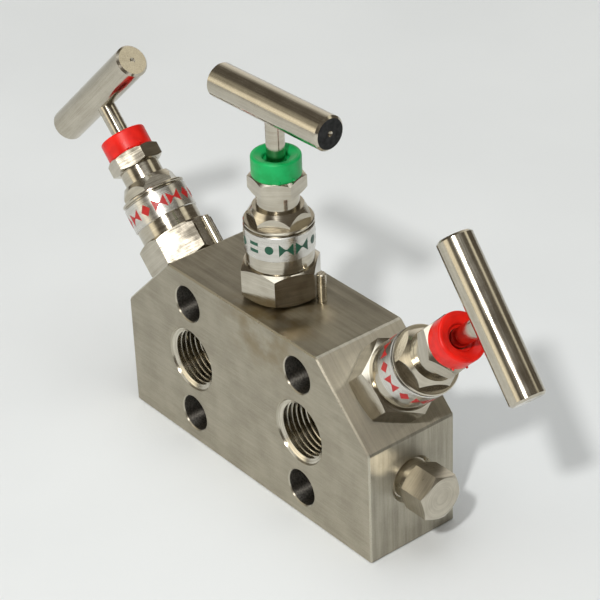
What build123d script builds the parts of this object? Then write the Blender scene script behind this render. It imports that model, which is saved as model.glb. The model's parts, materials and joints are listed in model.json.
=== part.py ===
"""Three-valve instrument manifold: one drilled steel body and three needle-valve heads.

Millimetres, +Z up. The origin is the centre of the body's bottom face. The process
face is at -Y, the instrument face at +Y, and the body's length runs along X.

Each valve head is built about its own axis, +Z, with its zero on the body's face, and
is then placed by one of the three seats in head_seats: upright on top for the
equalising valve, and square to each sloping corner for the two isolating valves.
"""

import os
from math import cos, radians, sin, sqrt, tan

from build123d import *

# ---- manifold body ----
body_length = 119.0
body_height = 62.5
body_depth = 33.5
corner_leg = 23.2
edge_break = 0.5

# ---- habits shared by many pieces ----
overcut = 1.0
ring_gap = 0.03
running_gap = 0.06
thread_gap = 0.05
push_gap = 0.02
drill_tip_slope = 31.0
nut_corner_slope = 30.0
nut_corner_cut = 0.25
groove_depth_share = 0.6
groove_crest_share = 0.1

# ---- instrument-flange pattern shared by both long faces ----
port_spacing = 54.0
bolt_spacing = 41.3
bolt_hole_r = 6.0
bolt_hole_rim = 0.4

# ---- process ports: tapered pipe thread, half inch, 14 threads to the inch ----
inch = 25.4
process_pitch = inch / 14
process_thread_r = 9.2
process_root_r = 10.5
process_depth = 14.0
process_land = 0.35
process_mouth_r = 10.9
process_mouth_depth = 0.6
process_root_flat = 0.1
pilot_r = 5.5
pilot_reach = 2.5
pipe_taper = 1 / 32

# ---- instrument ports and their seal rings ----
instrument_bore_r = 6.0
instrument_bore_depth = 10.75
seal_inner_r = 8.7
seal_outer_r = 12.2
seal_thickness = 2.0

# ---- end plugs: tapered pipe thread, quarter inch, 18 threads to the inch ----
plug_height = 23.4
plug_pitch = inch / 18
plug_thread_r = 6.7
plug_thread_length = 11.0
plug_hole_depth = 13.0
plug_hole_mouth_r = 7.9
plug_mouth_depth = 1.2
plug_neck_r = 6.3
plug_neck_length = 3.0
plug_flats = 14.0
plug_hex_length = 10.0
plug_corner_angle = 12.0

# ---- drilled passages ----
passage_r = 1.6
orifice_r = 2.25
chamber_entry = 1.8
side_entry_offset = 3.6
top_entry = (3.8, 1.5, 2.1)
port_entry = 2.75
plug_entry = 4.75
plug_entry_shift = (2.0, 1.75)
orifice_overlap = 0.5
cross_entry = 4.75

# ---- cavity for a valve head, depths below the body's face ----
shank_r = 8.0
shank_pitch = 1.5
shank_depth = 10.0
shank_relief = 1.6
shank_relief_cut = 0.9
cavity_mouth_cut = 0.8
seal_ring_height = 0.8
seal_ring_margin = 0.3
chamber_r = 5.0
chamber_depth = 15.0
seat_r = 3.1
seat_half_angle = 30.0
side_orifice_depth = 25.5
equalise_orifice_depth = 24.5

# ---- bonnet, heights above the body's face ----
collar_r = 9.6
collar_height = 0.5
bonnet_flats = 22.5
bonnet_hex_top = 11.3
shoulder_r = 10.5
shoulder_top = 16.0
sleeve_seat_r = 10.2
bonnet_top = 24.6
sleeve_r = 10.9
sleeve_top = 24.4
sleeve_edge = 0.25

# ---- bores inside the bonnet ----
stem_thread_r = 4.0
stem_thread_pitch = 1.0
stem_r = 2.9
back_seat_height = 8.0
packing_bottom = 9.2
packing_r = 5.6
packing_top = 17.6

# ---- packing set ----
washer_height = 0.8
packing_ring_height = 2.4
packing_vee = 0.7
thrust_ring_height = 1.0

# ---- flanged lock nut on the gland ----
lock_groove_r = 9.9
lock_flange_bottom = 25.1
lock_flange_r = 10.85
lock_flange_top = 26.0
lock_flange_lower_edge = 0.2
lock_flange_upper_edge = 0.3
lock_flats = 17.1
lock_cone_bottom = 27.0
lock_cone_margin = 0.1
lock_top = 30.5
lock_top_r = 7.9

# ---- gland adjuster ----
gland_thread_r = 6.7
gland_nose_r = 5.5
gland_thread_bottom = 18.0
gland_pitch = 1.0
gland_thread_top = 30.0
gland_hex_bottom = 35.4
gland_hex_top = 40.8
gland_flats = 15.6
gland_collar_r = 6.4
gland_collar_top = 44.0

# ---- dust cap ----
cap_r = 7.7
cap_top = 47.4
cap_skirt_top = 44.2
cap_dish_r = 5.9
cap_hole_r = 4.1
cap_wiper_r = 3.15
cap_rim_round = 0.7
cap_foot_r = 7.55
cap_foot_height = 0.4
cap_lip_width = 0.6
cap_lip_drop = 0.25
cap_dish_drop = 0.75
cap_dish_margin = 0.4
cap_hole_edge = 1.1
cap_hole_bottom = 2.1
cap_wiper_slope = 0.2

# ---- stem and needle, at rest with the valve shut ----
stem_thread_bottom = -6.0
stem_thread_top = 3.0
stem_foot_r = 3.3
stem_foot = -11.6
stem_top_edge = 0.4
socket_r = 1.8
socket_lip_r = 1.25
socket_lip_height = 0.6
socket_lip_slope = 0.2
socket_top = -7.9
ball_r = 1.7
ball_height = -9.7
needle_neck_r = 1.1
needle_r = 2.9
needle_shoulder = -12.0
needle_nose_r = 1.2
seat_gap = 0.07

# ---- T-bar handle ----
handle_height = 63.0
handle_r = 5.5
handle_length = 49.5
handle_chamfer = 0.7
handle_socket_reach = 3.0
handle_socket_spare = 0.2
centre_drill_r = 0.9

# ---- lock pin beside each bonnet ----
pin_r = 1.5
pin_circle_r = 14.3
pin_height = 10.0
pin_depth = 5.0
pin_edge = 0.3

# ---- how far round its head each piece stands, degrees ----
bonnet_turn = {"equalise": 12.8, "isolate_left": 2.0, "isolate_right": 4.0}
lock_turn = {"equalise": 41.4, "isolate_left": 20.0, "isolate_right": 10.0}
gland_turn = {"equalise": 48.6, "isolate_left": -7.0, "isolate_right": 38.0}
pin_turn = {"equalise": 20.0, "isolate_left": 20.0, "isolate_right": 110.0}
handle_turn = {"equalise": 1.9, "isolate_left": 5.1, "isolate_right": -5.2}

# ---- places worked out from the driving dimensions ----
front = -body_depth / 2
back = body_depth / 2
port_height = body_height / 2
port_xs = (-port_spacing / 2, port_spacing / 2)
bolt_heights = (port_height - bolt_spacing / 2, port_height + bolt_spacing / 2)
corner_x = (body_length - corner_leg) / 2
corner_z = body_height - corner_leg / 2
gland_nose_bottom = (
    packing_bottom + washer_height + 2 * packing_ring_height + thrust_ring_height
)
head_seats = {
    "equalise": Pos(0, 0, body_height),
    "isolate_left": Pos(-corner_x, 0, corner_z) * Rot(0, -45, 0),
    "isolate_right": Pos(corner_x, 0, corner_z) * Rot(0, 45, 0),
}


def turned(points):
    """Solid turned about Z from (radius, height) points."""
    outline = Polyline(*[(r, 0, z) for r, z in points], close=True)
    return revolve(make_face(outline), Axis.Z)


def flat_ring(inner_r, outer_r, bottom, top):
    """Plain ring about Z."""
    return turned([(inner_r, bottom), (outer_r, bottom), (outer_r, top), (inner_r, top)])


def drilled(start, end, radius):
    """Round hole of one radius between two points."""
    path = Line(start, end)
    section = Plane(origin=start, z_dir=path % 0) * Circle(radius)
    return extrude(section, path.length)


def hexagon_bar(across_flats, bottom, top, corner_angle=0.0):
    """Hexagonal bar along Z, with one corner at the given angle."""
    corner_r = across_flats / sqrt(3)
    angles = [radians(corner_angle + 60 * i) for i in range(6)]
    corners = [(corner_r * cos(a), corner_r * sin(a), bottom) for a in angles]
    return extrude(make_face(Polyline(*corners, close=True)), top - bottom, dir=(0, 0, 1))


def hexagon_head(across_flats, bottom, top, corner_angle):
    """Hexagonal bar whose corners are turned off at both ends, as on a nut."""
    corner_r = across_flats / sqrt(3)
    face_r = across_flats / 2 - nut_corner_cut
    drop = (corner_r - face_r) * tan(radians(nut_corner_slope))
    envelope = [(0, bottom), (face_r, bottom), (corner_r, bottom + drop)]
    envelope += [(corner_r, top - drop), (face_r, top), (0, top)]
    return hexagon_bar(across_flats, bottom, top, corner_angle) & turned(envelope)


def threaded_outline(crest_r, pitch, bottom, top):
    """Outline of an outside thread as V grooves, from bottom to top."""
    depth = groove_depth_share * pitch
    half_crest = groove_crest_share * pitch
    count = int((top - bottom) / pitch)
    margin = (top - bottom - count * pitch) / 2
    points = [(crest_r, bottom)]
    for i in range(count):
        low = bottom + margin + i * pitch
        points.append((crest_r, low + half_crest))
        points.append((crest_r - depth, low + pitch / 2))
        points.append((crest_r, low + pitch - half_crest))
    points.append((crest_r, top))
    return points


# ---- manifold body ----


def process_port():
    """Threaded port as a solid to remove, mouth at zero, running along +Z."""
    half_land = process_land / 2
    half_flat = process_root_flat / 2
    first_crest = process_mouth_depth + process_pitch / 2
    count = int((process_depth - first_crest) / process_pitch)
    pilot_bottom = pilot_reach - front
    points = [(0, -overcut), (process_mouth_r + overcut, -overcut), (process_mouth_r, 0)]
    points.append((process_root_r, process_mouth_depth))
    for i in range(count):
        crest = first_crest + i * process_pitch
        root = crest + process_pitch / 2
        root_r = process_root_r - root * pipe_taper
        points.append((process_thread_r, crest - half_land))
        points.append((process_thread_r, crest + half_land))
        points.append((root_r, root - half_flat))
        points.append((root_r, root + half_flat))
    points.append((process_thread_r, first_crest + count * process_pitch - half_land))
    points.append((process_thread_r, process_depth))
    points += [(pilot_r, process_depth), (pilot_r, pilot_bottom), (0, pilot_bottom)]
    return turned(points)


def head_cavity(orifice_depth, pin_angle):
    """Everything drilled for one valve head, down from the body's face."""
    bore_r = shank_r + thread_gap
    floor = -shank_depth - seal_ring_height
    seat_bottom = -chamber_depth - (seat_r - orifice_r) / tan(radians(seat_half_angle))
    hole = turned(
        [
            (0, overcut),
            (bore_r + cavity_mouth_cut, overcut),
            (bore_r + cavity_mouth_cut, 0),
            (bore_r, -cavity_mouth_cut),
            (bore_r, floor),
            (chamber_r, floor),
            (chamber_r, -chamber_depth),
            (seat_r, -chamber_depth),
            (orifice_r, seat_bottom),
            (orifice_r, -orifice_depth),
            (0, -orifice_depth),
        ]
    )
    pin_hole = drilled((0, 0, -pin_depth), (0, 0, overcut), pin_r + push_gap)
    return hole + pin_place(pin_angle) * pin_hole


def plug_port():
    """Hole for an end plug, mouth at zero, running along -Z."""
    bore_r = plug_thread_r + thread_gap
    return turned(
        [
            (0, overcut),
            (plug_hole_mouth_r, overcut),
            (plug_hole_mouth_r, 0),
            (bore_r, -plug_mouth_depth),
            (bore_r, -plug_hole_depth),
            (0, -plug_hole_depth - bore_r * tan(radians(drill_tip_slope))),
        ]
    )


def seal_groove():
    """Ring-shaped groove for an instrument seal ring, open at zero, down along -Z."""
    outline = [(seal_inner_r, overcut), (seal_outer_r, overcut)]
    outline += [(seal_outer_r, -seal_thickness), (seal_inner_r, -seal_thickness)]
    return turned(outline)


def instrument_bore():
    """Bore on the instrument face, open at zero, down along -Z."""
    return drilled((0, 0, -instrument_bore_depth), (0, 0, overcut), instrument_bore_r)


def bolt_hole():
    """Through hole along Z from zero down, with a broken edge at both ends."""
    rim_r = bolt_hole_r + bolt_hole_rim
    return turned(
        [
            (0, overcut),
            (rim_r + overcut, overcut),
            (rim_r, 0),
            (bolt_hole_r, -bolt_hole_rim),
            (bolt_hole_r, bolt_hole_rim - body_depth),
            (rim_r, -body_depth),
            (rim_r + overcut, -body_depth - overcut),
            (0, -body_depth - overcut),
        ]
    )


def flow_passages():
    """Slanting drillings that join the chambers, the ports and the end plugs."""
    passages = []
    port_targets = [(x, back - port_entry, port_height) for x in port_xs]
    for side, x, port_target in zip((-1, 1), port_xs, port_targets):
        inward = sqrt(0.5) * (shank_depth + chamber_entry)
        chamber = (side * (corner_x - inward), side_entry_offset, corner_z - inward)
        passages.append(drilled(chamber, port_target, passage_r))
        plug_end = (side * (body_length / 2 - plug_hole_depth), 0, plug_height)
        shift_x, shift_z = plug_entry_shift
        bore_side = (x + side * shift_x, back - plug_entry, port_height - shift_z)
        passages.append(drilled(plug_end, bore_side, passage_r))
    top_x, top_y, top_depth = top_entry
    chamber = (top_x, top_y, body_height - shank_depth - top_depth)
    passages.append(drilled(chamber, port_targets[1], passage_r))
    orifice_foot = (0, 0, body_height - equalise_orifice_depth + orifice_overlap)
    passages.append(drilled(orifice_foot, (port_xs[0], back - cross_entry, port_height), passage_r))
    return passages


def manifold_body():
    """Steel block with two sloping corners, its ports, bolt holes and cavities."""
    half = body_length / 2
    profile = [
        (-half, 0, 0),
        (half, 0, 0),
        (half, 0, body_height - corner_leg),
        (half - corner_leg, 0, body_height),
        (corner_leg - half, 0, body_height),
        (-half, 0, body_height - corner_leg),
    ]
    block = extrude(make_face(Polyline(*profile, close=True)), body_depth / 2, both=True)
    block = chamfer(block.edges(), edge_break)
    z_to_back = Rot(-90, 0, 0)
    for x in port_xs:
        block -= Pos(x, front, port_height) * z_to_back * process_port()
        block -= Pos(x, back, port_height) * z_to_back * instrument_bore()
        block -= Pos(x, back, port_height) * z_to_back * seal_groove()
        for z in bolt_heights:
            block -= Pos(x, back, z) * z_to_back * bolt_hole()
    for name, seat in head_seats.items():
        depth = equalise_orifice_depth if name == "equalise" else side_orifice_depth
        block -= seat * head_cavity(depth, pin_turn[name])
    for side in (-1, 1):
        block -= Pos(side * half, 0, plug_height) * Rot(0, side * 90, 0) * plug_port()
    for passage in flow_passages():
        block -= passage
    return block


def end_plug(side):
    """Hexagon-headed pipe plug in one end of the body."""
    thread_top = -plug_mouth_depth
    outline = [(0, -plug_thread_length)]
    outline += threaded_outline(plug_thread_r, plug_pitch, -plug_thread_length, thread_top)
    outline += [(plug_neck_r, thread_top), (plug_neck_r, plug_neck_length), (0, plug_neck_length)]
    hex_end = plug_neck_length + plug_hex_length
    head = hexagon_head(plug_flats, plug_neck_length, hex_end, plug_corner_angle)
    plug = turned(outline) + head
    return Pos(side * body_length / 2, 0, plug_height) * Rot(0, side * 90, 0) * plug


def instrument_seal_ring(x):
    """Flat seal ring that fills its groove up to the instrument face."""
    inner_r = seal_inner_r + ring_gap
    outer_r = seal_outer_r - ring_gap
    return Pos(x, back, port_height) * Rot(-90, 0, 0) * flat_ring(
        inner_r, outer_r, -seal_thickness, 0
    )


# ---- one valve head, about its own axis ----


def bonnet(turn):
    """Bonnet: threaded shank, hexagon, shoulder, and the bores for stem and packing."""
    shank = threaded_outline(shank_r, shank_pitch, -shank_depth, -shank_relief)
    outside = [(0, -shank_depth)] + shank
    relief_r = shank_r - shank_relief_cut
    outside += [(relief_r, -shank_relief), (relief_r, 0), (collar_r, 0)]
    outside += [(collar_r, bonnet_hex_top), (shoulder_r, bonnet_hex_top)]
    outside += [(shoulder_r, shoulder_top), (sleeve_seat_r, shoulder_top)]
    outside += [(sleeve_seat_r, bonnet_top), (0, bonnet_top)]
    hexagon = hexagon_head(bonnet_flats, collar_height, bonnet_hex_top, turn)
    thread_bore_r = stem_thread_r + running_gap
    stem_bore_r = stem_r + running_gap
    back_seat_rise = thread_bore_r - stem_bore_r
    inside = turned(
        [
            (0, -shank_depth - overcut),
            (thread_bore_r, -shank_depth - overcut),
            (thread_bore_r, back_seat_height),
            (stem_bore_r, back_seat_height + back_seat_rise),
            (stem_bore_r, packing_bottom),
            (packing_r, packing_bottom),
            (packing_r, packing_top),
            (gland_thread_r + thread_gap, packing_top),
            (gland_thread_r + thread_gap, bonnet_top + overcut),
            (0, bonnet_top + overcut),
        ]
    )
    return turned(outside) + hexagon - inside


def bonnet_seal():
    """Metal ring squeezed between the bonnet's shank and the floor of its hole."""
    top = -shank_depth
    inner_r = chamber_r + seal_ring_margin
    outer_r = shank_r - seal_ring_margin
    return flat_ring(inner_r, outer_r, top - seal_ring_height, top)


def label_sleeve():
    """Plain identification band round the bonnet."""
    inner_r = sleeve_seat_r + ring_gap
    return turned(
        [
            (inner_r, shoulder_top),
            (sleeve_r - sleeve_edge, shoulder_top),
            (sleeve_r, shoulder_top + sleeve_edge),
            (sleeve_r, sleeve_top - sleeve_edge),
            (sleeve_r - sleeve_edge, sleeve_top),
            (inner_r, sleeve_top),
        ]
    )


def packing_washer():
    """Washer under the packing."""
    top = packing_bottom + washer_height
    return flat_ring(stem_r + running_gap, packing_r - ring_gap, packing_bottom, top)


def packing_ring(index):
    """One V ring of the packing, counted from the bottom."""
    inner_r = stem_r + ring_gap
    outer_r = packing_r - ring_gap
    middle_r = (inner_r + outer_r) / 2
    bottom = packing_bottom + washer_height + index * packing_ring_height
    top = bottom + packing_ring_height
    low_vee = packing_vee if index > 0 else 0
    high_vee = packing_vee if index == 0 else 0
    return turned(
        [
            (inner_r, bottom),
            (middle_r, bottom + low_vee),
            (outer_r, bottom),
            (outer_r, top),
            (middle_r, top + high_vee),
            (inner_r, top),
        ]
    )


def thrust_ring():
    """Hard ring between the packing and the gland's nose."""
    bottom = gland_nose_bottom - thrust_ring_height
    return flat_ring(stem_r + running_gap, packing_r - ring_gap, bottom, gland_nose_bottom)


def lock_nut(turn):
    """Flanged hexagon nut that clamps the sleeve's end and locks the gland."""
    bore_r = gland_thread_r + thread_gap
    flange = turned(
        [
            (bore_r, bonnet_top),
            (lock_groove_r, bonnet_top),
            (lock_groove_r, lock_flange_bottom),
            (lock_flange_r - lock_flange_lower_edge, lock_flange_bottom),
            (lock_flange_r, lock_flange_bottom + lock_flange_lower_edge),
            (lock_flange_r, lock_flange_top - lock_flange_upper_edge),
            (lock_flange_r - lock_flange_upper_edge, lock_flange_top),
            (bore_r, lock_flange_top),
        ]
    )
    hexagon_foot = lock_flange_top - lock_cone_margin
    cone_r = lock_flats / sqrt(3) + lock_cone_margin
    cone = turned(
        [
            (bore_r, hexagon_foot),
            (cone_r, hexagon_foot),
            (cone_r, lock_cone_bottom),
            (lock_top_r, lock_top),
            (bore_r, lock_top),
        ]
    )
    return flange + (cone & hexagon_bar(lock_flats, hexagon_foot, lock_top, turn))


def gland_adjuster(turn):
    """Gland screw: nose on the packing, thread, polished neck, hexagon and cap collar."""
    outline = [(0, gland_nose_bottom), (gland_nose_r, gland_nose_bottom)]
    outline.append((gland_nose_r, gland_thread_bottom))
    outline += threaded_outline(
        gland_thread_r, gland_pitch, gland_thread_bottom, gland_thread_top
    )
    outline += [(gland_thread_r, gland_hex_bottom), (gland_collar_r, gland_hex_bottom)]
    outline += [(gland_collar_r, gland_collar_top), (0, gland_collar_top)]
    hexagon = hexagon_head(gland_flats, gland_hex_bottom, gland_hex_top, turn)
    bore_foot = (0, 0, gland_nose_bottom - overcut)
    bore_top = (0, 0, gland_collar_top + overcut)
    return turned(outline) + hexagon - drilled(bore_foot, bore_top, stem_r + running_gap)


def dust_cap():
    """Moulded cap pushed over the gland's collar, open round the stem."""
    skirt_r = gland_collar_r + ring_gap
    cap = turned(
        [
            (skirt_r, gland_hex_top),
            (cap_foot_r, gland_hex_top),
            (cap_r, gland_hex_top + cap_foot_height),
            (cap_r, cap_top),
            (cap_dish_r + cap_lip_width, cap_top),
            (cap_dish_r, cap_top - cap_lip_drop),
            (cap_hole_r + cap_dish_margin, cap_top - cap_dish_drop),
            (cap_hole_r, cap_top - cap_hole_edge),
            (cap_hole_r, cap_top - cap_hole_bottom),
            (cap_wiper_r, cap_top - cap_hole_bottom - cap_wiper_slope),
            (cap_wiper_r, cap_skirt_top),
            (skirt_r, cap_skirt_top),
        ]
    )
    rims = cap.edges().filter_by(GeomType.CIRCLE).filter_by_position(Axis.Z, cap_top, cap_top)
    outer_rim = max(rims, key=lambda edge: edge.radius)
    return fillet(outer_rim, cap_rim_round)


def stem():
    """Valve stem: crimped socket, thread, back seat and the polished upper rod."""
    back_seat_rise = stem_thread_r - stem_r
    rod_top = handle_height + handle_socket_reach - handle_socket_spare
    outline = [(0, stem_foot), (stem_foot_r, stem_foot), (stem_foot_r, stem_thread_bottom)]
    outline += threaded_outline(
        stem_thread_r, stem_thread_pitch, stem_thread_bottom, stem_thread_top
    )
    outline += [(stem_r, stem_thread_top + back_seat_rise)]
    outline += [(stem_r, rod_top - stem_top_edge), (stem_r - stem_top_edge, rod_top)]
    outline.append((0, rod_top))
    socket = turned(
        [
            (0, stem_foot - overcut),
            (socket_lip_r, stem_foot - overcut),
            (socket_lip_r, stem_foot + socket_lip_height),
            (socket_r, stem_foot + socket_lip_height + socket_lip_slope),
            (socket_r, socket_top),
            (0, socket_top),
        ]
    )
    return turned(outline) - socket


def needle_tip():
    """Needle that seals on the seat; its ball lets the stem turn above it."""
    slope = tan(radians(seat_half_angle))
    cone_r = seat_r - seat_gap / cos(radians(seat_half_angle))
    cone_top = -chamber_depth - (cone_r - needle_r) / slope
    nose = -chamber_depth - (cone_r - needle_nose_r) / slope
    body = turned(
        [
            (0, nose),
            (needle_nose_r, nose),
            (needle_r, cone_top),
            (needle_r, needle_shoulder),
            (needle_neck_r, needle_shoulder),
            (needle_neck_r, ball_height),
            (0, ball_height),
        ]
    )
    return body + Pos(0, 0, ball_height) * Sphere(ball_r)


def t_bar(turn):
    """Round cross bar with chamfered, centre-drilled ends and a socket for the stem."""
    half = handle_length / 2
    bar = turned(
        [
            (0, -half + centre_drill_r),
            (centre_drill_r, -half),
            (handle_r - handle_chamfer, -half),
            (handle_r, -half + handle_chamfer),
            (handle_r, half - handle_chamfer),
            (handle_r - handle_chamfer, half),
            (centre_drill_r, half),
            (0, half - centre_drill_r),
        ]
    )
    bar = Pos(0, 0, handle_height) * Rot(0, 0, turn) * Rot(0, 90, 0) * bar
    socket_foot = (0, 0, handle_height - handle_r - overcut)
    socket_end = (0, 0, handle_height + handle_socket_reach)
    return bar - drilled(socket_foot, socket_end, stem_r + push_gap)


def pin_place(turn):
    """Where the lock pin stands beside the bonnet's hexagon."""
    angle = radians(turn)
    return Pos(pin_circle_r * cos(angle), pin_circle_r * sin(angle), 0)


def lock_pin(turn):
    """Pin driven into the body so that the bonnet can't unscrew."""
    pin = turned(
        [
            (0, -pin_depth),
            (pin_r, -pin_depth),
            (pin_r, pin_height - pin_edge),
            (pin_r - pin_edge, pin_height),
            (0, pin_height),
        ]
    )
    return pin_place(turn) * pin


def head_pieces(name):
    """The pieces of one valve head, each about the head's own axis."""
    return {
        "bonnet": bonnet(bonnet_turn[name]),
        "bonnet_seal": bonnet_seal(),
        "label_sleeve": label_sleeve(),
        "packing_washer": packing_washer(),
        "packing_ring_lower": packing_ring(0),
        "packing_ring_upper": packing_ring(1),
        "thrust_ring": thrust_ring(),
        "lock_nut": lock_nut(lock_turn[name]),
        "gland_adjuster": gland_adjuster(gland_turn[name]),
        "dust_cap": dust_cap(),
        "stem": stem(),
        "needle_tip": needle_tip(),
        "t_bar": t_bar(handle_turn[name]),
        "lock_pin": lock_pin(pin_turn[name]),
    }


def all_pieces():
    """Every piece in place, by node name."""
    pieces = {"manifold_body": manifold_body()}
    for side, label, x in ((-1, "left", port_xs[0]), (1, "right", port_xs[1])):
        pieces[f"end_plug_{label}"] = end_plug(side)
        pieces[f"instrument_seal_ring_{label}"] = instrument_seal_ring(x)
    for name, seat in head_seats.items():
        for piece_name, piece in head_pieces(name).items():
            pieces[f"{name}_{piece_name}"] = seat * piece
    return pieces


os.makedirs("parts", exist_ok=True)
for node, solid in all_pieces().items():
    export_step(solid, f"parts/{node}.step")
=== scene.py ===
"""Looks of the three-valve manifold: materials, valve signs, mould marks, studio and camera.

Everything is in metres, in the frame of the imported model. The CAD nodes keep their shapes
and only get materials. New pieces are the enamelled signs on the label bands and the small
gate marks that moulding leaves on the dust caps.
"""

import json
from math import atan2, cos, hypot, pi, radians, sin, sqrt

import bpy
import numpy as np
from mathutils import Matrix, Vector


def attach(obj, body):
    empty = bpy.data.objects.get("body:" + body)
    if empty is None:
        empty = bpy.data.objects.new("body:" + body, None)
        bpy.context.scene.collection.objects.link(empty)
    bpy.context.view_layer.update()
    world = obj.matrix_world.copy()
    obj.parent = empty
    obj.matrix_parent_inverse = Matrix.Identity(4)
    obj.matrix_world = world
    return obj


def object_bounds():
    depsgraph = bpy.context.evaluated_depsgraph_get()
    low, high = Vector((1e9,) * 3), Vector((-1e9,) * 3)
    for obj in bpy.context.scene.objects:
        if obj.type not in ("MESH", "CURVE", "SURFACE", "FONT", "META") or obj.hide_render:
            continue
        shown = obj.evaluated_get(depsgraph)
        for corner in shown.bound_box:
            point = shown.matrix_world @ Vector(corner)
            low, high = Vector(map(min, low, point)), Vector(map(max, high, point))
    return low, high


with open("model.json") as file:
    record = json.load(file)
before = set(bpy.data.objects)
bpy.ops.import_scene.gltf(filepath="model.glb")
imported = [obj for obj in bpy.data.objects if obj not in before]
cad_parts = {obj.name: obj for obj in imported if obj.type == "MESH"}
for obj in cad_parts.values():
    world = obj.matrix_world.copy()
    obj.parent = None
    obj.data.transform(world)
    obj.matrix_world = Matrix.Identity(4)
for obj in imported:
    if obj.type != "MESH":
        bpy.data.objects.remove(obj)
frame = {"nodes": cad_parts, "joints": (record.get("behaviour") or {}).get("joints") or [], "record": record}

cad_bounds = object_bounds()

MM = 0.001
nodes = frame["nodes"]
joints = {joint["name"]: joint for joint in frame["joints"]}
mounts = {mount["name"]: mount for mount in frame["record"]["mounts"]}
heads = ("equalise", "isolate_left", "isolate_right")

# ---- camera, by the direction that it stands in; it aims right and up of the frame's zero ----
camera_azimuth = radians(51.925)
camera_elevation = radians(31.853)
camera_roll = radians(-2.327)
camera_distance = 740.92 * MM
camera_aim = (3.381 * MM, 49.915 * MM)
camera_lens = 138.83
camera_near = 0.01
sensor_width = 36.0

# ---- colours, linear ----
block_light = (0.520, 0.485, 0.395)
block_dark = (0.300, 0.275, 0.222)
block_stain = (0.260, 0.205, 0.115)
# painted shade: dark colours inside the bolt holes
painted_bore_shade_light = (0.220, 0.205, 0.180)
painted_bore_shade_dark = (0.110, 0.102, 0.090)
thread_light = (0.700, 0.660, 0.560)
thread_dark = (0.470, 0.430, 0.350)
steel_light = (0.640, 0.595, 0.500)
steel_dark = (0.400, 0.362, 0.290)
# painted reflection: near-black colours for one T-bar's end face, in place of the dark reflection that it
# shows
painted_reflection_light = (0.045, 0.045, 0.045)
painted_reflection_dark = (0.020, 0.020, 0.020)
band_light = (0.760, 0.745, 0.700)
band_dark = (0.540, 0.520, 0.475)
ptfe_light = (0.850, 0.845, 0.810)
ptfe_dark = (0.700, 0.690, 0.640)
cap_colours = {
    "cap_green": ((0.004, 0.480, 0.130), (0.001, 0.330, 0.075)),
    "cap_red": ((0.880, 0.012, 0.004), (0.640, 0.005, 0.002)),
}
sign_colours = {
    "cap_green": ((0.004, 0.100, 0.050), (0.002, 0.050, 0.028)),
    "cap_red": ((0.560, 0.012, 0.010), (0.330, 0.006, 0.006)),
}
floor_light = (0.800, 0.825, 0.840)
floor_dark = (0.760, 0.785, 0.800)

# ---- surface detail: size, octaves, and the half range of the noise that fills 0 to 1 ----
block_grain = (0.30 * MM, 3.0, 0.22)
block_streaks = (1.8 * MM, 2.0, 0.20)
block_cloud = (9 * MM, 4.0, 0.22)
block_pits = (0.6 * MM, 2.0, 0.20)
oil_patches = (8 * MM, 4.0, 0.16)
tool_rings = (0.30 * MM, 3.0, 0.22)
fine_tool_rings = (0.20 * MM, 3.0, 0.22)
turned_bands = (1.6 * MM, 1.0, 0.20)
turned_haze = (5 * MM, 3.0, 0.20)
bar_hairlines = (0.30 * MM, 3.0, 0.20)
bar_stripes = (1.8 * MM, 1.0, 0.22)
bar_speckle = (0.5 * MM, 3.0, 0.20)
bar_haze = (7 * MM, 3.0, 0.22)
# mottle inside the painted reflection on one T-bar's end
painted_reflection_mottle = (1.4 * MM, 3.0, 0.25)
plastic_flow = (4 * MM, 3.0, 0.25)
plastic_peel = (0.45 * MM, 2.0, 0.25)
matte_cloud = (3 * MM, 3.0, 0.25)
matte_grain = (0.30 * MM, 2.0, 0.25)
enamel_grain = (0.25 * MM, 2.0, 0.25)
floor_cloud = (120 * MM, 3.0, 0.25)
floor_tooth = (0.8 * MM, 2.0, 0.25)

# ---- how many times longer the grain is along the tool's way ----
block_stretch = 28
turned_stretch = 40
bar_stretch = 45

# ---- depth of the finest relief ----
ground_relief = 0.010 * MM
turned_relief = 0.004 * MM
plastic_relief = 0.010 * MM
matte_relief = 0.006 * MM
floor_relief = 0.010 * MM

# ---- roughness ----
block_roughness = 0.49
block_anisotropy = 0.85
turned_roughness = {
    "bonnet": 0.13,
    "nut": 0.15,
    "stem": 0.14,
    "needle": 0.12,
    "pin": 0.26,
    "seal": 0.35,
    "band": 0.24,
    "plug": 0.30,
}
bar_roughness = 0.10
plastic_roughness = 0.30
plastic_specular = 0.35
packing_roughness = 0.55
ptfe_roughness = 0.50
enamel_roughness = 0.35
floor_roughness = 0.65
floor_specular = 0.3

# ---- where a face counts as one kind or another, by one part of its normal ----
long_face_from = 0.9
chamfer_from = (0.35, 0.60)
chamfer_to = (0.80, 0.92)
end_face_from = (0.5, 0.8)
# painted reflection on one T-bar's end: the end face, picked by its normal, from this share of the half
# length onwards
painted_reflection_face_from = (0.90, 0.99)
painted_reflection_start = 0.9

# ---- marks on the block ----
port_mouth_r = 10.55 * MM
# how far past a bolt hole's radius the painted shade reaches
bore_shade_margin = 0.05 * MM
oil_offset = Vector((10 * MM, -13 * MM, 0))
oil_inner = 8 * MM
oil_outer = 24 * MM
oil_strength = 0.8

# ---- enamel signs on the label bands ----
enamel_depth = 0.02 * MM
enamel_proud = 0.03 * MM
sign_count = 13
sign_columns = 12
sign_series = {
    "equalise": ("valve", "dot", "double_bar", "dot"),
    "isolate_left": ("valve", "diamond"),
    "isolate_right": ("valve", "diamond"),
}
bow_tie_waist = 0.12
sign_tip = 0.03

# ---- stubs on the dust caps' rims ----
nib_angle = radians(-32)
nib_pitch = radians(34)
nib_radius = 0.45 * MM
nib_taper = 0.45
nib_reach = 0.55 * MM
nib_sunk = 0.30 * MM
nib_rise = 0.60 * MM
nib_rings = 4
nib_sides = 10

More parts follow.
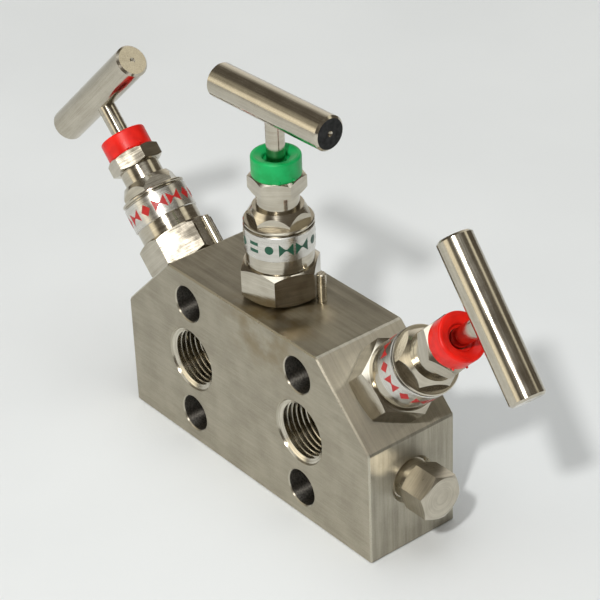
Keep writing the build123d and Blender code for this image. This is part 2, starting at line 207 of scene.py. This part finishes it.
# ---- the studio: a dim room with soft panels, each by direction and half angles ----
room_colour = (0.135, 0.118, 0.095)
panels = (
    {"azimuth": -112, "elevation": 6, "full": 14, "edge": 31, "colour": (1.35, 1.25, 1.02)},
    {"azimuth": -140, "elevation": 22, "full": 6, "edge": 24, "colour": (0.34, 0.32, 0.26)},
    {"azimuth": 140, "elevation": 0, "full": 12, "edge": 44, "colour": (0.78, 0.76, 0.70)},
    {"azimuth": 58, "elevation": 38, "full": 3, "edge": 12, "colour": (1.00, 0.96, 0.80)},
    {"azimuth": -40, "elevation": 86, "full": 16, "edge": 36, "colour": (2.05, 2.12, 2.16)},
)
key_direction = Vector((0.450, -0.575, 0.683))
key_distance = 1.50
key_size = 0.090
key_power = 12.0
key_colour = (1.0, 0.985, 0.955)
floor_half_width = 6.0


# ---- short ways to build a material ----


def add(tree, kind, inputs=None, **settings):
    """New node; an input is a socket to link or a constant."""
    made = tree.nodes.new(kind)
    for name, value in settings.items():
        setattr(made, name, value)
    for key, value in (inputs or {}).items():
        if isinstance(value, bpy.types.NodeSocket):
            tree.links.new(value, made.inputs[key])
        else:
            made.inputs[key].default_value = value
    return made


class Shader:
    """A material being built from nodes, in one place's own coordinates."""

    def __init__(self, name, place=Matrix.Identity(4)):
        self.material = bpy.data.materials.new(name)
        self.material.use_nodes = True
        self.tree = self.material.node_tree
        self.tree.nodes.clear()
        coordinates = self.add("ShaderNodeTexCoord")
        self.point = self.into(place, coordinates.outputs["Object"], moved=True)
        turned = self.add(
            "ShaderNodeVectorTransform",
            {"Vector": self.add("ShaderNodeNewGeometry").outputs["Normal"]},
            vector_type="NORMAL",
            convert_from="WORLD",
            convert_to="OBJECT",
        )
        self.normal = self.into(place, turned.outputs["Vector"], moved=False)

    def add(self, kind, inputs=None, **settings):
        """New node in this material."""
        return add(self.tree, kind, inputs, **settings)

    def into(self, place, vector, moved):
        """A point or a direction in the coordinates of a place."""
        inputs = {"Vector": vector, "Rotation": place.to_euler()}
        if moved:
            inputs["Location"] = place.to_translation()
        mapping = self.add("ShaderNodeMapping", inputs, vector_type="TEXTURE")
        return mapping.outputs["Vector"]

    def math(self, operation, *values):
        """Result of one sum on one to three values."""
        return self.add("ShaderNodeMath", dict(enumerate(values)), operation=operation).outputs[0]

    def layered(self, *layers, base=0.0):
        """Base value plus each layer's value times its share."""
        total = base
        for value, share in layers:
            total = self.math("MULTIPLY_ADD", value, share, total)
        return total

    def length(self, first, second):
        """Length of the diagonal of two sides."""
        return self.math("SQRT", self.layered((first, first), (second, second)))

    def parts(self, vector):
        """The three coordinates of a vector."""
        split = self.add("ShaderNodeSeparateXYZ", {0: vector})
        return split.outputs[0], split.outputs[1], split.outputs[2]

    def joined(self, x, y, z):
        """A vector from three coordinates."""
        return self.add("ShaderNodeCombineXYZ", {0: x, 1: y, 2: z}).outputs[0]

    def band(self, value, low, high, start=0.0, end=1.0):
        """Smooth step of a value between two limits."""
        inputs = {"Value": value, "From Min": low, "From Max": high}
        inputs.update({"To Min": start, "To Max": end})
        made = self.add("ShaderNodeMapRange", inputs, interpolation_type="SMOOTHSTEP")
        return made.outputs["Result"]

    def noise(self, vector, detail):
        """Soft noise from 0 to 1."""
        size, octaves, half_range = detail
        inputs = {"Vector": vector, "Scale": 1.0 / size, "Detail": octaves}
        made = self.add("ShaderNodeTexNoise", inputs)
        return self.band(made.outputs[0], 0.5 - half_range, 0.5 + half_range)

    def mixed(self, share, first, second):
        """Colour between two colours."""
        inputs = {0: share, 6: self.colour(first), 7: self.colour(second)}
        return self.add("ShaderNodeMix", inputs, data_type="RGBA").outputs[2]

    def colour(self, value):
        """A colour socket as it is, or a constant with its alpha."""
        if isinstance(value, bpy.types.NodeSocket):
            return value
        return (*value, 1.0)

    def bumped(self, height, depth):
        """Normal of a surface whose height map spans a depth."""
        inputs = {"Height": height, "Distance": depth, "Strength": 1.0}
        return self.add("ShaderNodeBump", inputs).outputs[0]

    def finish(self, inputs):
        """The material, with one principled surface."""
        surface = self.add("ShaderNodeBsdfPrincipled", inputs)
        self.add("ShaderNodeOutputMaterial", {"Surface": surface.outputs[0]})
        return self.material


def dress(node_name, material):
    """Gives a CAD node one material on all its slots."""
    for slot in nodes[node_name].material_slots:
        slot.material = material


# ---- places: each head's own axis, and each long piece's own length ----


def head_place(head):
    """Matrix whose +Z is the head's axis, with its zero on the body's face."""
    turn = joints[f"{head}_turn"]
    axis = Vector(turn["axis"])
    lean = atan2(axis.x, axis.z)
    return Matrix.Translation(turn["pos_m"]) @ Matrix.Rotation(lean, 4, "Y")


def long_place(node_name):
    """Matrix at a node's centre whose +Z runs along its longest direction, to +X."""
    corners = np.array([vertex.co for vertex in nodes[node_name].data.vertices])
    centre = (corners.min(axis=0) + corners.max(axis=0)) / 2
    directions = np.linalg.svd(corners - centre, full_matrices=False)[2]
    along = Vector(directions[0])
    if along.x < 0:
        along = -along
    turn = Vector((0, 0, 1)).rotation_difference(along).to_matrix().to_4x4()
    return Matrix.Translation(centre) @ turn


def seen_from(node_name, place):
    """A node's vertices in the coordinates of a place."""
    inverse = place.inverted()
    return [inverse @ vertex.co for vertex in nodes[node_name].data.vertices]


# ---- materials ----


def ground_grain(shader, point, long_face):
    """Tone of the ground faces, and the grain, cloud and pits that it is made of."""
    x, y, z = point
    stretched = shader.joined(
        shader.math("MULTIPLY", x, 1 / block_stretch),
        shader.layered((long_face, shader.math("SUBTRACT", z, y)), base=y),
        shader.math("MULTIPLY", z, 1 / block_stretch),
    )
    grain = shader.noise(stretched, block_grain)
    streaks = shader.noise(stretched, block_streaks)
    cloud = shader.noise(shader.point, block_cloud)
    pits = shader.noise(shader.point, block_pits)
    tone = shader.layered(
        (streaks, shader.layered((long_face, -0.28), base=0.38)),
        (grain, 0.22),
        (pits, 0.10),
        (cloud, shader.layered((long_face, 0.08), base=0.24)),
        (long_face, 0.13),
        base=0.03,
    )
    return tone, grain, cloud, pits


def oil_share(shader):
    """How oily a point is: patchy, and only near the middle bonnet's foot."""
    foot = Vector(joints["equalise_turn"]["pos_m"]) + oil_offset
    away = shader.add("ShaderNodeVectorMath", {0: shader.point, 1: foot}, operation="DISTANCE")
    near = shader.band(away.outputs["Value"], oil_inner, oil_outer, oil_strength, 0.0)
    return shader.math("MULTIPLY", near, shader.noise(shader.point, oil_patches))


def chamfer_share(shader, normal_y):
    """Whether a point is on a chamfer between a long face and another."""
    return shader.math(
        "MULTIPLY",
        shader.band(normal_y, *chamfer_from),
        shader.band(normal_y, *chamfer_to, 1.0, 0.0),
    )


def hole_shares(shader, point):
    """Whether a point is inside a process port, and whether it is inside a bolt hole."""
    x, y, z = point
    port = mounts["process_port_right"]["pos_m"]
    port_x = shader.math("SUBTRACT", shader.math("ABSOLUTE", x), port[0])
    port_z = shader.math("SUBTRACT", z, port[2])
    in_port = shader.math("LESS_THAN", shader.length(port_x, port_z), port_mouth_r)
    bolt = mounts["bolt_hole_upper_right"]
    bolt_lift = bolt["pos_m"][2] - port[2]
    bolt_z = shader.math("SUBTRACT", shader.math("ABSOLUTE", port_z), bolt_lift)
    bolt_r = bolt["dims"]["r_mm"] * MM + bore_shade_margin
    in_bolt = shader.math("LESS_THAN", shader.length(port_x, bolt_z), bolt_r)
    return in_port, in_bolt


def ground_steel():
    """The block: ground faces, chamfers painted light as a painted highlight, cut threads, bolt holes
    painted dark as painted shade, and a little oil.
    """
    shader = Shader("block_ground_steel")
    point = shader.parts(shader.point)
    normal_y = shader.math("ABSOLUTE", shader.parts(shader.normal)[1])
    long_face = shader.math("GREATER_THAN", normal_y, long_face_from)
    tone, grain, cloud, pits = ground_grain(shader, point, long_face)
    oiled = oil_share(shader)
    edge = chamfer_share(shader, normal_y)
    in_port, in_bolt = hole_shares(shader, point)

    colour = shader.mixed(tone, block_dark, block_light)
    colour = shader.mixed(oiled, colour, block_stain)
    # painted highlight: the chamfers are painted the lightest block tone; their lower roughness is their
    # real smoother finish
    colour = shader.mixed(edge, colour, block_light)
    colour = shader.mixed(in_port, colour, shader.mixed(grain, thread_dark, thread_light))
    # painted shade: the walls of the bolt holes are painted dark
    colour = shader.mixed(in_bolt, colour, shader.mixed(pits, painted_bore_shade_dark, painted_bore_shade_light))
    roughness = shader.layered(
        (tone, -0.12),
        (edge, -0.14),
        (oiled, -0.10),
        (in_port, -0.20),
        base=block_roughness,
    )
    height = shader.layered((grain, 0.5), (cloud, 0.2), (pits, 0.3))
    sideways = shader.math("SUBTRACT", 1.0, long_face)
    return shader.finish(
        {
            "Base Color": colour,
            "Metallic": 1.0,
            "Roughness": roughness,
            "Anisotropic": block_anisotropy,
            "Tangent": shader.joined(0.0, sideways, long_face),
            "Normal": shader.bumped(height, ground_relief),
        }
    )


def turned_steel(name, place, roughness, light=steel_light, dark=steel_dark, rings=tool_rings):
    """Steel turned about a place's +Z: fine tool rings, broader bands and a faint haze."""
    shader = Shader(name, place)
    x, y, z = shader.parts(shader.point)
    facing = shader.math("ABSOLUTE", shader.parts(shader.normal)[2])
    end_face = shader.band(facing, *end_face_from)
    outward = shader.math("SUBTRACT", shader.length(x, y), z)
    wound = shader.joined(
        shader.math("MULTIPLY", x, 1 / turned_stretch),
        shader.math("MULTIPLY", y, 1 / turned_stretch),
        shader.layered((end_face, outward), base=z),
    )
    fine = shader.noise(wound, rings)
    broad = shader.noise(wound, turned_bands)
    haze = shader.noise(shader.point, turned_haze)
    tone = shader.layered((fine, 0.35), (broad, 0.30), (haze, 0.35))
    height = shader.layered((fine, 0.7), (broad, 0.3))
    return shader.finish(
        {
            "Base Color": shader.mixed(tone, dark, light),
            "Metallic": 1.0,
            "Roughness": shader.layered((haze, 0.08), (fine, 0.04), base=roughness - 0.04),
            "Normal": shader.bumped(height, turned_relief),
        }
    )


def bar_steel(name, place, half_length, painted_dark_end):
    """Polished T-bar: hairlines along it, and on one bar an end face painted near black as a painted
    reflection.
    """
    shader = Shader(name, place)
    x, y, z = shader.parts(shader.point)
    drawn = shader.joined(x, y, shader.math("MULTIPLY", z, 1 / bar_stretch))
    hairlines = shader.noise(drawn, bar_hairlines)
    stripes = shader.noise(drawn, bar_stripes)
    speckle = shader.noise(shader.point, bar_speckle)
    haze = shader.noise(shader.point, bar_haze)
    tone = shader.layered((hairlines, 0.35), (stripes, 0.20), (speckle, 0.20), (haze, 0.25))
    colour = shader.mixed(tone, steel_dark, steel_light)
    roughness = shader.layered((haze, 0.06), (hairlines, 0.05), base=bar_roughness)
    # painted reflection: the end face at +Z is painted near black and made rougher, in place of the dark
    # reflection it shows
    if painted_dark_end:
        facing = shader.band(shader.parts(shader.normal)[2], *painted_reflection_face_from)
        at_end = shader.band(z, half_length * painted_reflection_start, half_length)
        painted_end_reflection = shader.math("MULTIPLY", facing, at_end)
        mottle = shader.noise(shader.point, painted_reflection_mottle)
        colour = shader.mixed(painted_end_reflection, colour, shader.mixed(mottle, painted_reflection_dark, painted_reflection_light))
        roughness = shader.layered((painted_end_reflection, 0.25), base=roughness)
    height = shader.layered((hairlines, 0.6), (speckle, 0.4))
    return shader.finish(
        {
            "Base Color": colour,
            "Metallic": 1.0,
            "Roughness": roughness,
            "Normal": shader.bumped(height, turned_relief),
        }
    )


def moulded_plastic(name, light, dark, place):
    """Moulded cap: faint flow marks and orange peel."""
    shader = Shader(name, place)
    flow = shader.noise(shader.point, plastic_flow)
    peel = shader.noise(shader.point, plastic_peel)
    return shader.finish(
        {
            "Base Color": shader.mixed(flow, dark, light),
            "Roughness": shader.layered((flow, 0.12), base=plastic_roughness),
            "Specular IOR Level": plastic_specular,
            "Normal": shader.bumped(peel, plastic_relief),
        }
    )


def matte_finish(name, light, dark, roughness, grain, place=Matrix.Identity(4)):
    """Plain matte surface with a fine grain: PTFE, packing or enamel."""
    shader = Shader(name, place)
    cloud = shader.noise(shader.point, matte_cloud)
    speck = shader.noise(shader.point, grain)
    tone = shader.layered((speck, 0.4), (cloud, 0.6))
    return shader.finish(
        {
            "Base Color": shader.mixed(tone, dark, light),
            "Roughness": shader.layered((cloud, 0.10), base=roughness),
            "Normal": shader.bumped(speck, matte_relief),
        }
    )


def floor_finish():
    """Pale matte floor with hardly any pattern."""
    shader = Shader("pale_floor")
    cloud = shader.noise(shader.point, floor_cloud)
    tooth = shader.noise(shader.point, floor_tooth)
    return shader.finish(
        {
            "Base Color": shader.mixed(cloud, floor_dark, floor_light),
            "Roughness": floor_roughness,
            "Specular IOR Level": floor_specular,
            "Normal": shader.bumped(tooth, floor_relief),
        }
    )


# ---- new pieces ----


def mesh_piece(name, points, faces, material, body):
    """A mesh that rides on a body and takes its finish from a material slot."""
    mesh = bpy.data.meshes.new(name)
    mesh.from_pydata([tuple(point) for point in points], [], faces)
    mesh.validate()
    mesh.update()
    piece = bpy.data.objects.new(name, mesh)
    bpy.context.scene.collection.objects.link(piece)
    mesh.materials.append(material)
    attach(piece, body)
    return piece


def bow_tie(share):
    """Half-height of a bow tie, from -1 to 1 along its width."""
    return max(abs(share), bow_tie_waist)


def diamond(share):
    """Half-height of a diamond."""
    return max(1.0 - abs(share), sign_tip)


def bar(share):
    """Half-height of a bar, the same all along."""
    return 1.0


def disc(share):
    """Half-height of a disc."""
    return max(sqrt(max(1.0 - share * share, 0.0)), sign_tip)


# Each sign's parts: half-height along the width, then width, height and lift.
sign_shapes = {
    "valve": [(bow_tie, 4.5 * MM, 4.2 * MM, 0.0)],
    "diamond": [(diamond, 3.4 * MM, 4.2 * MM, 0.0)],
    "dot": [(disc, 2.8 * MM, 2.8 * MM, 0.0)],
    "double_bar": [
        (bar, 3.2 * MM, 1.1 * MM, 1.2 * MM),
        (bar, 3.2 * MM, 1.1 * MM, -1.2 * MM),
    ],
}


def enamel_patch(place, radius, centre_angle, centre_height, half_height, width, height):
    """Points and faces of one thin enamel patch that follows the band's curve."""
    points = []
    for column in range(sign_columns + 1):
        share = 2.0 * column / sign_columns - 1.0
        angle = centre_angle + share * width / 2 / radius
        reach = half_height(share) * height / 2
        for r in (radius - enamel_depth, radius + enamel_proud):
            for rise in (-reach, reach):
                local = Vector((r * cos(angle), r * sin(angle), centre_height + rise))
                points.append(place @ local)
    faces = []
    for column in range(sign_columns):
        a = 4 * column
        b = a + 4
        faces += [(a, b, b + 1, a + 1), (a + 2, a + 3, b + 3, b + 2)]
        faces += [(a, a + 2, b + 2, b), (a + 1, b + 1, b + 3, a + 3)]
    last = 4 * sign_columns
    faces += [(0, 1, 3, 2), (last, last + 2, last + 3, last + 1)]
    return points, faces


def valve_signs(head, place, material):
    """Ring of generic enamelled signs round the head's label band."""
    local = seen_from(f"{head}_label_sleeve", place)
    radius = max(hypot(p.x, p.y) for p in local)
    middle = (min(p.z for p in local) + max(p.z for p in local)) / 2
    points, faces = [], []
    series = sign_series[head]
    for index in range(sign_count):
        angle = 2 * pi * index / sign_count
        for half_height, width, height, lift in sign_shapes[series[index % len(series)]]:
            patch_points, patch_faces = enamel_patch(
                place, radius, angle, middle + lift, half_height, width, height
            )
            faces += [tuple(corner + len(points) for corner in face) for face in patch_faces]
            points += patch_points
    mesh_piece(f"{head}_enamel_signs", points, faces, material, "root")


def nib_points(place, angle, radius, height):
    """Rings of points of one stub that stands out from a rim."""
    points = []
    for step in range(nib_rings + 1):
        share = step / nib_rings
        stub = nib_radius * (1.0 - nib_taper * share * share)
        out = radius - nib_sunk + share * (nib_sunk + nib_reach)
        for side in range(nib_sides):
            turn = 2 * pi * side / nib_sides
            across = angle + stub * cos(turn) / radius
            rise = height + stub * sin(turn)
            points.append(place @ Vector((out * cos(across), out * sin(across), rise)))
    return points


def nib_faces(start):
    """Faces of one stub whose points begin at a number."""
    faces = []
    for step in range(nib_rings):
        for side in range(nib_sides):
            a = start + step * nib_sides + side
            b = start + step * nib_sides + (side + 1) % nib_sides
            faces.append((a, b, b + nib_sides, a + nib_sides))
    faces.append(tuple(start + side for side in reversed(range(nib_sides))))
    last = start + nib_rings * nib_sides
    faces.append(tuple(last + side for side in range(nib_sides)))
    return faces


def gate_nibs(head, place, material):
    """Two small stubs on the cap's lower rim, where moulding sprues were snapped off."""
    local = seen_from(f"{head}_dust_cap", place)
    radius = max(hypot(p.x, p.y) for p in local)
    height = min(p.z for p in local) + nib_rise
    points, faces = [], []
    for angle in (nib_angle, nib_angle + nib_pitch):
        faces += nib_faces(len(points))
        points += nib_points(place, angle, radius, height)
    mesh_piece(f"{head}_gate_nibs", points, faces, material, "root")


# ---- studio and camera ----


def pale_floor():
    """Level floor under the block."""
    mesh = bpy.data.meshes.new("floor")
    w = floor_half_width
    mesh.from_pydata([(-w, -w, 0), (w, -w, 0), (w, w, 0), (-w, w, 0)], [], [(0, 1, 2, 3)])
    floor = bpy.data.objects.new("floor", mesh)
    bpy.context.scene.collection.objects.link(floor)
    mesh.materials.append(floor_finish())


def key_light():
    """One soft round light from the front, right and above."""
    light = bpy.data.lights.new("key", "AREA")
    light.shape = "DISK"
    light.size = key_size
    light.energy = key_power
    light.color = key_colour
    key = bpy.data.objects.new("key", light)
    bpy.context.scene.collection.objects.link(key)
    middle = (Vector(cad_bounds[0]) + Vector(cad_bounds[1])) / 2
    direction = key_direction.normalized()
    key.location = middle + direction * key_distance
    key.rotation_euler = direction.to_track_quat("Z", "Y").to_euler()


def dim_room():
    """World of one colour, with a soft panel added in each panel's direction."""
    world = bpy.data.worlds.new("studio")
    bpy.context.scene.world = world
    world.use_nodes = True
    tree = world.node_tree
    tree.nodes.clear()
    direction = add(tree, "ShaderNodeTexCoord").outputs["Generated"]
    total = room_colour
    for panel in panels:
        azimuth, elevation = radians(panel["azimuth"]), radians(panel["elevation"])
        level = cos(elevation)
        centre = (level * cos(azimuth), level * sin(azimuth), sin(elevation))
        towards = add(
            tree, "ShaderNodeVectorMath", {0: direction, 1: centre}, operation="DOT_PRODUCT"
        )
        share = add(
            tree,
            "ShaderNodeMapRange",
            {
                "Value": towards.outputs["Value"],
                "From Min": cos(radians(panel["edge"])),
                "From Max": cos(radians(panel["full"])),
            },
            interpolation_type="SMOOTHSTEP",
        )
        lit = {0: panel["colour"], 1: share.outputs["Result"], 2: total}
        total = add(tree, "ShaderNodeVectorMath", lit, operation="MULTIPLY_ADD").outputs["Vector"]
    background = add(tree, "ShaderNodeBackground", {"Color": total})
    add(tree, "ShaderNodeOutputWorld", {"Surface": background.outputs[0]})


def place_camera():
    """Camera in its stated direction, with its own roll."""
    backward = Vector(
        (
            sin(camera_azimuth) * cos(camera_elevation),
            -cos(camera_azimuth) * cos(camera_elevation),
            sin(camera_elevation),
        )
    )
    level = Vector((0, 0, 1)).cross(backward).normalized()
    upright = backward.cross(level)
    right = cos(camera_roll) * level + sin(camera_roll) * upright
    up = cos(camera_roll) * upright - sin(camera_roll) * level
    data = bpy.data.cameras.new("camera")
    data.sensor_width = sensor_width
    data.lens = camera_lens
    data.clip_start = camera_near
    camera = bpy.data.objects.new("camera", data)
    bpy.context.scene.collection.objects.link(camera)
    spot = camera_aim[0] * right + camera_aim[1] * up + camera_distance * backward
    turn = Matrix((right, up, backward)).transposed().to_4x4()
    camera.matrix_world = Matrix.Translation(spot) @ turn
    bpy.context.scene.camera = camera


# ---- each part of the object in its finish ----


def dress_turned(head, place):
    """Turned steel pieces of one valve head."""
    nut = turned_steel(f"{head}_turned_steel", place, turned_roughness["nut"])
    for piece in ("lock_nut", "gland_adjuster", "packing_washer", "thrust_ring"):
        dress(f"{head}_{piece}", nut)
    for piece, finish, rings in (
        ("bonnet", "bonnet", tool_rings),
        ("stem", "stem", fine_tool_rings),
        ("needle_tip", "needle", fine_tool_rings),
        ("lock_pin", "pin", tool_rings),
    ):
        name = f"{head}_{finish}_steel"
        steel = turned_steel(name, place, turned_roughness[finish], rings=rings)
        dress(f"{head}_{piece}", steel)
    seal = turned_steel(f"{head}_seal_metal", place, turned_roughness["seal"])
    dress(f"{head}_bonnet_seal", seal)
    roughness = turned_roughness["band"]
    band = turned_steel(f"{head}_band_steel", place, roughness, band_light, band_dark)
    dress(f"{head}_label_sleeve", band)


def dress_bar(head):
    """Polished steel of one T-bar."""
    node_name = f"{head}_t_bar"
    place = long_place(node_name)
    half_length = max(p.z for p in seen_from(node_name, place))
    # only the middle T-bar gets the painted dark reflection on its end
    painted_dark_end = head == "equalise"
    dress(node_name, bar_steel(f"{head}_bar_steel", place, half_length, painted_dark_end))


def dress_head(head):
    """Materials, enamel signs and cap stubs of one valve head."""
    place = head_place(head)
    dress_turned(head, place)
    dress_bar(head)
    packing = matte_finish(
        f"{head}_packing", ptfe_light, ptfe_dark, packing_roughness, matte_grain, place
    )
    dress(f"{head}_packing_ring_lower", packing)
    dress(f"{head}_packing_ring_upper", packing)
    slot = "cap_green" if head == "equalise" else "cap_red"
    light, dark = cap_colours[slot]
    plastic = moulded_plastic(f"{head}_cap_plastic", light, dark, place)
    dress(f"{head}_dust_cap", plastic)
    gate_nibs(head, place, plastic)
    light, dark = sign_colours[slot]
    enamel = matte_finish(f"{head}_enamel", light, dark, enamel_roughness, enamel_grain, place)
    valve_signs(head, place, enamel)


def dress_body():
    """Materials of the block, its plugs and the seal rings."""
    dress("manifold_body", ground_steel())
    for side in ("left", "right"):
        plug = f"end_plug_{side}"
        dress(plug, turned_steel(f"{plug}_steel", long_place(plug), turned_roughness["plug"]))
        ring = f"instrument_seal_ring_{side}"
        ptfe = matte_finish(f"{ring}_ptfe", ptfe_light, ptfe_dark, ptfe_roughness, matte_grain)
        dress(ring, ptfe)


dress_body()
for head_name in heads:
    dress_head(head_name)
pale_floor()
key_light()
dim_room()
place_camera()
bpy.context.scene.view_settings.view_transform = "Standard"
